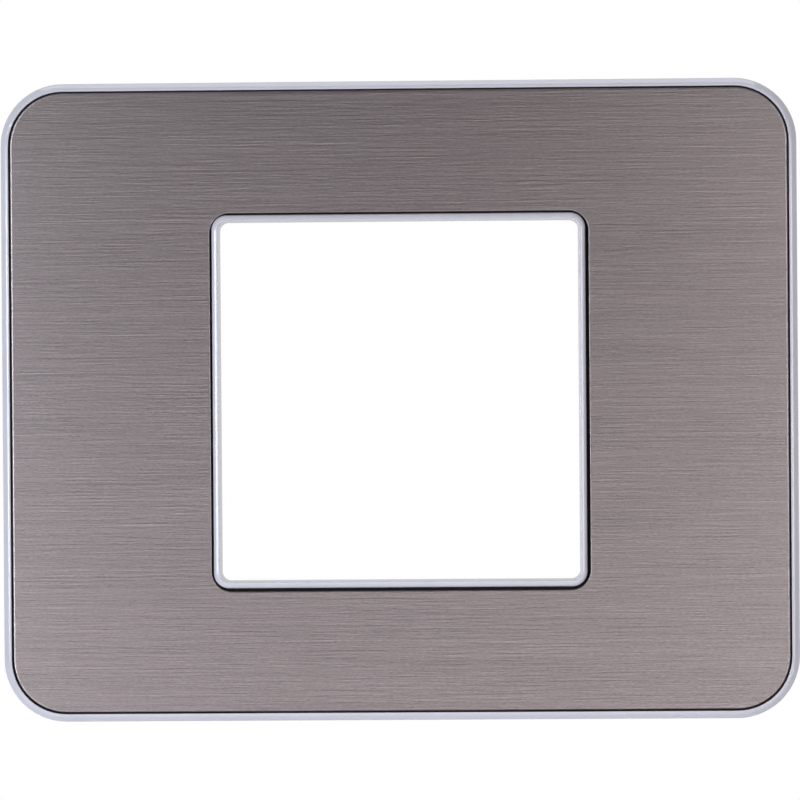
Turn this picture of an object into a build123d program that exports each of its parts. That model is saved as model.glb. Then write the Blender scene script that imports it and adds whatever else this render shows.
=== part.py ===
from build123d import *
import os
from math import radians, tan

# Wall switch plate for two wiring modules: a brushed steel face set in a moulded carrier frame.
# X runs across, Z is up and the front faces -Y. The wall is the plane Y = 0, and each level is a
# distance from the wall towards the room. All sizes are in millimetres.

# Outline of the carrier at the wall
plate_width = 100.0
plate_height = 80.4
plate_corner_radius = 8.1
draft_angle = 2.0

# Levels of the front, from the wall
rim_level = 8.8
lip_rise = 0.2
face_drop = 0.2

# Rim of the carrier: a narrow crest beside the face and a bevel down to the drafted side
rim_crest = 0.32
rim_bevel = 0.65
rim_crest_round = 0.5
rim_shoulder_round = 0.3
tray_edge_round = 0.04

# Window for the wiring modules, and the lip round it. The shares are the most of the lip's wall
# that each of its roundings may take.
module_width = 22.5
module_height = 45.0
module_count = 2
module_clearance = 0.05
window_corner_radius = 1.1
lip_wall = 0.78
lip_outer_round = 0.69
lip_outer_share = 0.89
lip_inner_round = 0.07
lip_inner_share = 0.09

# Walls of the carrier behind the face
web_thickness = 1.7
skirt_wall = 1.6
hollow_round = 0.6
collar_wall = 1.2
collar_set_back = 4.2
rib_wall = 1.0
rib_height = 1.2

# Toothed snap legs that click into the mounting frame
leg_spacing_x = 68.0
leg_spacing_z = 58.0
leg_width = 6.0
leg_thickness = 1.5
leg_set_back = 0.8
tooth_count = 3
tooth_pitch = 1.1
tooth_depth = 0.5
gusset_run = 1.8
gusset_reach = 2.4

# Notch in the lower edge for the screwdriver that lifts the plate off
notch_width = 10.0
notch_depth = 1.2

# Steel face and the pad that bonds it to the tray. The sheet's hole lies a little off the middle,
# and its corners are rounder than the lip's.
sheet_thickness = 0.8
sheet_gap = 0.15
sheet_edge_round = 0.3
hole_gap = 0.33
hole_corner_ease = 0.6
hole_edge_round = 0.1
hole_shift_x = 0.08
hole_shift_z = -0.1
pad_thickness = 0.3
pad_gap = 0.02
pad_edge_drop = 0.15

# Sizes that follow from those above
draft_inset = rim_level * tan(radians(draft_angle))
tray_inset = draft_inset + rim_bevel + rim_crest
tray_width = plate_width - 2 * tray_inset
tray_height = plate_height - 2 * tray_inset
tray_corner_radius = plate_corner_radius - tray_inset
window_width = module_count * module_width + 2 * module_clearance
window_height = module_height + 2 * module_clearance
lip_width = window_width + 2 * lip_wall
lip_height = window_height + 2 * lip_wall
lip_corner_radius = window_corner_radius + lip_wall
hole_corner_radius = lip_corner_radius + hole_corner_ease
lip_level = rim_level + lip_rise
face_level = rim_level - face_drop
sheet_back_level = face_level - sheet_thickness
sheet_width = tray_width - 2 * sheet_gap
sheet_height = tray_height - 2 * sheet_gap
sheet_corner_radius = tray_corner_radius - sheet_gap
pad_edge_level = face_level - pad_edge_drop
tray_level = sheet_back_level - pad_thickness
web_back_level = tray_level - web_thickness
web_middle_level = tray_level - web_thickness / 2
through = 2 * lip_level


def outline(width, height, radius, level, x=0.0, z=0.0):
    """Rounded rectangle that faces the room at a level."""
    return Plane.XZ.offset(level) * Pos(x, z) * RectangleRounded(width, height, radius)


def block(width, height, radius, low, high, taper=0.0, x=0.0, z=0.0):
    """Rounded block between two levels, narrowing towards the room by its taper."""
    return extrude(outline(width, height, radius, low, x, z), amount=high - low, taper=taper)


def front_face(shape):
    """Face of a shape that lies nearest to the room."""
    return shape.faces().sort_by(Axis.Y)[0]


def carrier_shell():
    """Drafted skirt and web, with the rim round a tray at the front and a hollow at the back."""
    shell = block(plate_width, plate_height, plate_corner_radius, 0, rim_level, draft_angle)
    shell = chamfer(front_face(shell).outer_wire().edges(), rim_bevel)
    shoulder = shell.edges().filter_by(Plane.XZ).group_by(Axis.Y)[1]
    shell = fillet(shoulder, rim_shoulder_round)
    shell -= block(tray_width, tray_height, tray_corner_radius, tray_level, through)
    shell = fillet(front_face(shell).outer_wire().edges(), rim_crest_round)
    shell = fillet(front_face(shell).inner_wires()[0].edges(), tray_edge_round)
    hollow = block(
        plate_width - 2 * skirt_wall,
        plate_height - 2 * skirt_wall,
        plate_corner_radius - skirt_wall,
        0,
        web_back_level,
        draft_angle,
    )
    return shell - fillet(front_face(hollow).edges(), hollow_round)


def stiffening_ribs():
    """Grid of low ribs on the back of the web, in line with the collar and across its middle."""
    rib_middle = web_middle_level - (web_thickness / 2 + rib_height) / 2
    depth = web_thickness / 2 + rib_height
    span_x = plate_width - 2 * draft_inset - skirt_wall
    span_z = plate_height - 2 * draft_inset - skirt_wall
    reach_x = (window_width + collar_wall) / 2
    reach_z = (window_height + collar_wall) / 2
    ribs = []
    for place in (-1, 0, 1):
        ribs.append(Pos(place * reach_x, -rib_middle, 0) * Box(rib_wall, depth, span_z))
        ribs.append(Pos(0, -rib_middle, place * reach_z) * Box(span_x, depth, rib_wall))
    return ribs


def window_collar():
    """Collar behind the web and the lip that rises through the tray, still without the window."""
    collar = block(
        window_width + 2 * collar_wall,
        window_height + 2 * collar_wall,
        window_corner_radius + collar_wall,
        collar_set_back,
        web_middle_level,
    )
    return collar + block(lip_width, lip_height, lip_corner_radius, web_middle_level, lip_level)


def snap_leg(x, z):
    """Leg with saw teeth on its outer side and a gusset on its inner side."""
    out = 1 if z > 0 else -1
    inner = z - out * leg_thickness / 2
    outer = z + out * leg_thickness / 2
    profile = [(-web_middle_level, inner), (-leg_set_back, inner)]
    for tooth in range(tooth_count):
        start = leg_set_back + tooth * tooth_pitch
        profile.append((-start, outer))
        profile.append((-start - tooth_pitch, outer + out * tooth_depth))
    profile.append((-leg_set_back - tooth_count * tooth_pitch, outer))
    profile.append((-web_middle_level, outer))
    gusset = [
        (-web_middle_level, inner),
        (-web_back_level + gusset_reach, inner),
        (-web_back_level, inner - out * gusset_run),
        (-web_middle_level, inner - out * gusset_run),
    ]
    middle = Plane.YZ.offset(x)
    leg = extrude(middle * Polygon(*profile, align=None), amount=leg_width / 2, both=True)
    return leg + extrude(middle * Polygon(*gusset, align=None), amount=rib_wall / 2, both=True)


def lift_notch():
    """Round-ended notch through the lower wall of the skirt, at the wall plane."""
    wall_middle = Plane.XY.offset((skirt_wall - plate_height) / 2)
    return extrude(wall_middle * SlotOverall(notch_width, 2 * notch_depth), amount=skirt_wall, both=True)


def carrier_frame():
    """Moulded frame: rim, tray and lip at the front, collar, ribs and snap legs at the back."""
    frame = carrier_shell() + stiffening_ribs() + window_collar()
    for side_x in (-1, 1):
        for side_z in (-1, 1):
            frame += snap_leg(side_x * leg_spacing_x / 2, side_z * leg_spacing_z / 2)
    frame -= lift_notch()
    frame -= block(window_width, window_height, window_corner_radius, -through, through)
    outer_round = min(lip_outer_round, lip_outer_share * lip_wall)
    inner_round = min(lip_inner_round, lip_inner_share * lip_wall)
    frame = fillet(front_face(frame).outer_wire().edges(), outer_round)
    return fillet(front_face(frame).inner_wires()[0].edges(), inner_round)


def adhesive_pad():
    """Die-cut pad on the floor of the tray, its outer edge raised to fill the joint round the sheet."""
    pad = block(
        tray_width - 2 * pad_gap,
        tray_height - 2 * pad_gap,
        tray_corner_radius - pad_gap,
        tray_level,
        pad_edge_level,
    )
    pad -= block(
        sheet_width + 2 * pad_gap,
        sheet_height + 2 * pad_gap,
        sheet_corner_radius + pad_gap,
        sheet_back_level,
        pad_edge_level,
    )
    return pad - block(
        lip_width + 2 * pad_gap,
        lip_height + 2 * pad_gap,
        lip_corner_radius + pad_gap,
        tray_level,
        sheet_back_level,
    )


def steel_face():
    """Stamped sheet with rounded corners and a square hole, its front edges eased."""
    sheet = block(sheet_width, sheet_height, sheet_corner_radius, sheet_back_level, face_level)
    sheet -= block(
        lip_width + 2 * hole_gap,
        lip_height + 2 * hole_gap,
        hole_corner_radius,
        sheet_back_level,
        face_level,
        x=hole_shift_x,
        z=hole_shift_z,
    )
    sheet = fillet(front_face(sheet).outer_wire().edges(), sheet_edge_round)
    return fillet(front_face(sheet).inner_wires()[0].edges(), hole_edge_round)


os.makedirs("parts", exist_ok=True)
export_step(carrier_frame(), "parts/carrier_frame.step")
export_step(adhesive_pad(), "parts/adhesive_pad.step")
export_step(steel_face(), "parts/steel_face.step")
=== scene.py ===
from math import cos, pi, radians, sin

import bpy
from mathutils import Matrix, Vector


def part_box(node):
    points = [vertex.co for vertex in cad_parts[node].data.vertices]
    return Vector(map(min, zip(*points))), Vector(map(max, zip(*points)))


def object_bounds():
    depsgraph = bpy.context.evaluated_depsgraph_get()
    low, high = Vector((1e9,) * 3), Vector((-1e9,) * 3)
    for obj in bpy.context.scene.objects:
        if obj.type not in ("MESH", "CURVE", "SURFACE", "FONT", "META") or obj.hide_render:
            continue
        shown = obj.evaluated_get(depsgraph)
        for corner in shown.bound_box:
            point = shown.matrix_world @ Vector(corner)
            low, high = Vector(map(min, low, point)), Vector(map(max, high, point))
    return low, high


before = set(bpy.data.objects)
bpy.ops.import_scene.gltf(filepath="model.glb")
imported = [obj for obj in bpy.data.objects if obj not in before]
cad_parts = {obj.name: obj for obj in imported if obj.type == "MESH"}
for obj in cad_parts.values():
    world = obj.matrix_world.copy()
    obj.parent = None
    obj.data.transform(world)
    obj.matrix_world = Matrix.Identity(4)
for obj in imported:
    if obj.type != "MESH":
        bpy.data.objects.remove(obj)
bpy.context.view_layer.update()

# Sizes are in metres, in the frame of the plate: X across, Z up, the front faces -Y.

# Camera: nearly square on to the plate, a little from the right, slightly rolled
IMAGE_WIDTH_PX = 800
CAMERA_DISTANCE = 0.400
CAMERA_AZIMUTH_DEG = 1.25
CAMERA_ELEVATION_DEG = 0.2
CAMERA_ROLL_DEG = 0.43
CAMERA_NEAREST = 0.01
SENSOR_WIDTH_MM = 36.0
AIM_SHIFT_X = 0.00010
AIM_SHIFT_Z = 0.00007

# Front shoulder of the carrier, the widest edge in the picture: how far the draft of the sides sets
# it in from the edge at the wall, and its width in the picture
SHOULDER_INSET = 0.00028
SHOULDER_WIDTH_PX = 796.9

# Softboxes: distance and sizes that several share, and the tints by side
SIDE_DISTANCE = 0.60
WIDE_BOX = (0.24, 0.14)
NARROW_BOX = (0.12, 0.14)
LEFT_TINT = (0.94, 1.0, 1.13)
MIDDLE_TINT = (1.03, 1.0, 1.075)
RIGHT_TINT = (1.03, 1.0, 1.02)

# Glow of the surroundings in front of the plate and behind it. The edges are the parts of a
# direction along Y where the glow behind begins and where it is full.
FRONT_GLOW = (0.018, 0.016, 0.016)
BACK_GLOW = (0.70, 0.70, 0.70)
GLOW_EDGES = (-0.1, 0.3)

# Values of a noise between which a finish goes from its first tone or roughness to its second
WIDE_SPREAD = (0.3, 0.7)
NARROW_SPREAD = (0.35, 0.65)

# Steel: waves per metre along X, Y and Z of its brush lines, depths of relief, tones and roughness
FINE_STREAKS = (2000.0, 2000.0, 16000.0)
COARSE_STREAKS = (90.0, 90.0, 14000.0)
SLOW_BANDS = (25.0, 25.0, 700.0)
LONG_GROOVES = (45.0, 45.0, 3500.0)
SHORT_GROOVES = (300.0, 300.0, 5500.0)
GROOVE_DEPTH = 0.000055
STREAK_DEPTH = 0.00002
STEEL_TONES = ((0.29, 0.258, 0.250), (0.65, 0.576, 0.557))
STEEL_ROUGHNESS = (0.43, 0.32)

# White plastic: waves per metre of its mottle and grain, depth of relief, tones and roughness
PLASTIC_MOTTLE = (220.0, 220.0, 220.0)
PLASTIC_GRAIN = (5200.0, 5200.0, 5200.0)
GRAIN_DEPTH = 0.00002
PLASTIC_TONES = ((0.71, 0.71, 0.76), (0.735, 0.735, 0.787))
PLASTIC_ROUGHNESS = (0.12, 0.16)

# Black foam: waves per metre of its cells, depth of relief, tones and roughness
FOAM_CELLS = (3000.0, 3000.0, 3000.0)
CELL_DEPTH = 0.00005
FOAM_TONES = ((0.006, 0.005, 0.005), (0.016, 0.013, 0.013))
FOAM_ROUGHNESS = (0.75, 0.9)

# Floor: a round table top below the plate
FLOOR_DROP = 0.20
FLOOR_RADIUS = 0.45
FLOOR_CORNERS = 96
FLOOR_HAZE = (3.0, 3.0, 3.0)
FLOOR_TONES = ((0.64, 0.64, 0.65), (0.67, 0.67, 0.68))


def direction(turn_deg, lift_deg):
    """Unit vector from the plate towards a place in front of it, turned right and lifted."""
    turn, lift = radians(turn_deg), radians(lift_deg)
    return Vector((sin(turn) * cos(lift), -cos(turn) * cos(lift), sin(lift)))


def look_at(place, target, roll_deg=0.0):
    """Matrix of a camera or light at a place, facing a target, turned about its line of sight."""
    aim = (target - place).to_track_quat("-Z", "Y").to_matrix().to_4x4()
    return Matrix.Translation(place) @ aim @ Matrix.Rotation(radians(roll_deg), 4, "Z")


def add_camera():
    """Long-lens camera that frames the plate edge to edge."""
    low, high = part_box("carrier_frame")
    shoulder_width = high.x - low.x - 2 * SHOULDER_INSET
    picture_width = shoulder_width * IMAGE_WIDTH_PX / SHOULDER_WIDTH_PX
    face_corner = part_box("steel_face")[0]
    target = Vector((AIM_SHIFT_X, face_corner.y, AIM_SHIFT_Z))
    place = target + CAMERA_DISTANCE * direction(CAMERA_AZIMUTH_DEG, CAMERA_ELEVATION_DEG)
    data = bpy.data.cameras.new("camera")
    data.sensor_width = SENSOR_WIDTH_MM
    data.sensor_fit = "HORIZONTAL"
    data.lens = SENSOR_WIDTH_MM * CAMERA_DISTANCE / picture_width
    data.clip_start = CAMERA_NEAREST
    camera = bpy.data.objects.new("camera", data)
    camera.matrix_world = look_at(place, target, -CAMERA_ROLL_DEG)
    bpy.context.scene.collection.objects.link(camera)
    bpy.context.scene.camera = camera


def add_softbox(name, tint, watts, turn, lift, distance, size):
    """Soft rectangular light that faces the plate's middle and doesn't show to the camera."""
    data = bpy.data.lights.new(name, "AREA")
    data.shape = "RECTANGLE"
    data.size, data.size_y = size
    data.energy = watts
    data.color = tint
    light = bpy.data.objects.new(name, data)
    light.matrix_world = look_at(distance * direction(turn, lift), Vector())
    light.visible_camera = False
    bpy.context.scene.collection.objects.link(light)


def add_lights():
    """Studio set: boxes out to both sides, tall strips nearer the lens, one above and one low in front."""
    add_softbox("left_far", LEFT_TINT, 1.15, turn=-44, lift=0, distance=SIDE_DISTANCE, size=WIDE_BOX)
    add_softbox("left_middle", LEFT_TINT, 0.40, turn=-28, lift=0, distance=SIDE_DISTANCE, size=NARROW_BOX)
    add_softbox("left_near", LEFT_TINT, 0.08, turn=-22, lift=5, distance=SIDE_DISTANCE, size=(0.12, 0.40))
    add_softbox("right_near", RIGHT_TINT, 0.10, turn=15, lift=12, distance=SIDE_DISTANCE, size=(0.06, 0.40))
    add_softbox("right_middle", RIGHT_TINT, 0.24, turn=28, lift=0, distance=SIDE_DISTANCE, size=NARROW_BOX)
    add_softbox("right_far", RIGHT_TINT, 0.50, turn=44, lift=0, distance=SIDE_DISTANCE, size=WIDE_BOX)
    add_softbox("overhead", MIDDLE_TINT, 0.70, turn=0, lift=93, distance=0.50, size=(0.50, 0.25))
    add_softbox("low_front", MIDDLE_TINT, 0.38, turn=0, lift=-18, distance=0.47, size=(0.50, 0.16))


def add_world():
    """Surroundings that are dim in front and bright behind. The camera itself sees plain white."""
    world = bpy.data.worlds.new("studio")
    world.use_nodes = True
    nodes, links = world.node_tree.nodes, world.node_tree.links
    nodes.clear()
    output = nodes.new("ShaderNodeOutputWorld")
    place = nodes.new("ShaderNodeTexCoord")
    axes = nodes.new("ShaderNodeSeparateXYZ")
    surroundings = nodes.new("ShaderNodeBackground")
    surroundings.inputs["Strength"].default_value = 1.0
    links.new(place.outputs["Generated"], axes.inputs["Vector"])
    depth = add_range(nodes, links, axes.outputs["Y"], GLOW_EDGES, (0.0, 1.0))
    glow = add_ramp(nodes, links, depth, (0.0, 1.0), (FRONT_GLOW, BACK_GLOW))
    links.new(glow, surroundings.inputs["Color"])
    white = nodes.new("ShaderNodeBackground")
    white.inputs["Color"].default_value = (1.0, 1.0, 1.0, 1.0)
    white.inputs["Strength"].default_value = 1.0
    path = nodes.new("ShaderNodeLightPath")
    choice = nodes.new("ShaderNodeMixShader")
    links.new(path.outputs["Is Camera Ray"], choice.inputs["Fac"])
    links.new(surroundings.outputs["Background"], choice.inputs[1])
    links.new(white.outputs["Background"], choice.inputs[2])
    links.new(choice.outputs["Shader"], output.inputs["Surface"])
    bpy.context.scene.world = world


def new_material(name):
    """Material with an empty node tree, its surface shader and its node and link lists."""
    material = bpy.data.materials.new(name)
    material.use_nodes = True
    nodes, links = material.node_tree.nodes, material.node_tree.links
    nodes.clear()
    output = nodes.new("ShaderNodeOutputMaterial")
    shader = nodes.new("ShaderNodeBsdfPrincipled")
    links.new(shader.outputs["BSDF"], output.inputs["Surface"])
    return material, shader, nodes, links


def add_noise(nodes, links, waves_per_metre, detail=2.0, roughness=0.5):
    """Noise in the plate's own frame, with its own number of waves per metre along X, Y and Z."""
    place = nodes.new("ShaderNodeTexCoord")
    stretch = nodes.new("ShaderNodeMapping")
    stretch.inputs["Scale"].default_value = waves_per_metre
    noise = nodes.new("ShaderNodeTexNoise")
    noise.inputs["Scale"].default_value = 1.0
    noise.inputs["Detail"].default_value = detail
    noise.inputs["Roughness"].default_value = roughness
    links.new(place.outputs["Object"], stretch.inputs["Vector"])
    links.new(stretch.outputs["Vector"], noise.inputs["Vector"])
    return noise.outputs["Fac"]


def add_blend(nodes, links, first, second, share):
    """Two noises in one, the second with the given share."""
    mix = nodes.new("ShaderNodeMix")
    mix.data_type = "FLOAT"
    mix.inputs["Factor"].default_value = share
    links.new(first, mix.inputs["A"])
    links.new(second, mix.inputs["B"])
    return mix.outputs["Result"]


def add_range(nodes, links, source, spread, values):
    """Value that goes from the first to the second as a source crosses its spread."""
    scale = nodes.new("ShaderNodeMapRange")
    scale.inputs["From Min"].default_value, scale.inputs["From Max"].default_value = spread
    scale.inputs["To Min"].default_value, scale.inputs["To Max"].default_value = values
    links.new(source, scale.inputs["Value"])
    return scale.outputs["Result"]


def add_ramp(nodes, links, source, spread, colours):
    """Colour that goes from the first to the second as a source crosses its spread."""
    ramp = nodes.new("ShaderNodeValToRGB")
    for element, position, colour in zip(ramp.color_ramp.elements, spread, colours):
        element.position = position
        element.color = (*colour, 1.0)
    links.new(source, ramp.inputs["Fac"])
    return ramp.outputs["Color"]


def add_relief(nodes, links, shader, source, strength, depth):
    """Relief on a shader from a source, laid over any relief that it already has."""
    bump = nodes.new("ShaderNodeBump")
    bump.inputs["Strength"].default_value = strength
    bump.inputs["Distance"].default_value = depth
    links.new(source, bump.inputs["Height"])
    for earlier in shader.inputs["Normal"].links:
        links.new(earlier.from_socket, bump.inputs["Normal"])
    links.new(bump.outputs["Normal"], shader.inputs["Normal"])


def brushed_steel():
    """Warm grey steel brushed along X, which spreads its reflections up and down."""
    material, shader, nodes, links = new_material("brushed_steel")
    fine = add_noise(nodes, links, FINE_STREAKS, detail=3.0, roughness=0.7)
    coarse = add_noise(nodes, links, COARSE_STREAKS, detail=3.0, roughness=0.6)
    streaks = add_blend(nodes, links, fine, coarse, share=0.35)
    bands = add_noise(nodes, links, SLOW_BANDS, detail=3.0)
    tone = add_blend(nodes, links, streaks, bands, share=0.12)
    links.new(add_ramp(nodes, links, tone, WIDE_SPREAD, STEEL_TONES), shader.inputs["Base Color"])
    links.new(add_range(nodes, links, streaks, WIDE_SPREAD, STEEL_ROUGHNESS), shader.inputs["Roughness"])
    shader.inputs["Metallic"].default_value = 1.0
    shader.inputs["Anisotropic"].default_value = 0.8
    shader.inputs["Anisotropic Rotation"].default_value = 0.25
    along = nodes.new("ShaderNodeTangent")
    along.direction_type = "RADIAL"
    along.axis = "Z"
    links.new(along.outputs["Tangent"], shader.inputs["Tangent"])
    long_grooves = add_noise(nodes, links, LONG_GROOVES, roughness=0.6)
    short_grooves = add_noise(nodes, links, SHORT_GROOVES, roughness=0.6)
    grooves = add_blend(nodes, links, long_grooves, short_grooves, share=0.5)
    add_relief(nodes, links, shader, grooves, strength=1.0, depth=GROOVE_DEPTH)
    add_relief(nodes, links, shader, streaks, strength=0.12, depth=STREAK_DEPTH)
    return material


def white_moulding():
    """Satin white plastic with a cool tint and a very fine moulded grain."""
    material, shader, nodes, links = new_material("white_moulding")
    mottle = add_noise(nodes, links, PLASTIC_MOTTLE, detail=3.0)
    grain = add_noise(nodes, links, PLASTIC_GRAIN)
    links.new(add_ramp(nodes, links, mottle, NARROW_SPREAD, PLASTIC_TONES), shader.inputs["Base Color"])
    links.new(add_range(nodes, links, grain, WIDE_SPREAD, PLASTIC_ROUGHNESS), shader.inputs["Roughness"])
    shader.inputs["IOR"].default_value = 1.6
    add_relief(nodes, links, shader, grain, strength=0.08, depth=GRAIN_DEPTH)
    return material


def black_pad():
    """Matt black foam of the bonding pad."""
    material, shader, nodes, links = new_material("black_pad")
    cells = add_noise(nodes, links, FOAM_CELLS, detail=3.0)
    links.new(add_ramp(nodes, links, cells, NARROW_SPREAD, FOAM_TONES), shader.inputs["Base Color"])
    links.new(add_range(nodes, links, cells, WIDE_SPREAD, FOAM_ROUGHNESS), shader.inputs["Roughness"])
    shader.inputs["Specular IOR Level"].default_value = 0.2
    add_relief(nodes, links, shader, cells, strength=0.4, depth=CELL_DEPTH)
    return material


def pale_floor():
    """Plain pale studio floor."""
    material, shader, nodes, links = new_material("pale_floor")
    haze = add_noise(nodes, links, FLOOR_HAZE)
    links.new(add_ramp(nodes, links, haze, WIDE_SPREAD, FLOOR_TONES), shader.inputs["Base Color"])
    shader.inputs["Roughness"].default_value = 0.9
    return material


def dress_nodes():
    """Gives each piece of the plate its finish."""
    finishes = {
        "steel_face": brushed_steel(),
        "carrier_frame": white_moulding(),
        "adhesive_pad": black_pad(),
    }
    for name, finish in finishes.items():
        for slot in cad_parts[name].material_slots:
            slot.material = finish


def add_floor():
    """Round table top some way below the plate, which is held up as a wall would hold it."""
    plate_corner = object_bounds()[0]
    level = plate_corner[2] - FLOOR_DROP
    turns = [2 * pi * step / FLOOR_CORNERS for step in range(FLOOR_CORNERS)]
    rim = [(FLOOR_RADIUS * cos(turn), FLOOR_RADIUS * sin(turn), level) for turn in turns]
    mesh = bpy.data.meshes.new("floor")
    mesh.from_pydata(rim, [], [tuple(range(FLOOR_CORNERS))])
    mesh.materials.append(pale_floor())
    floor = bpy.data.objects.new("floor", mesh)
    bpy.context.scene.collection.objects.link(floor)


bpy.context.scene.view_settings.view_transform = "Standard"
dress_nodes()
add_camera()
add_lights()
add_world()
add_floor()
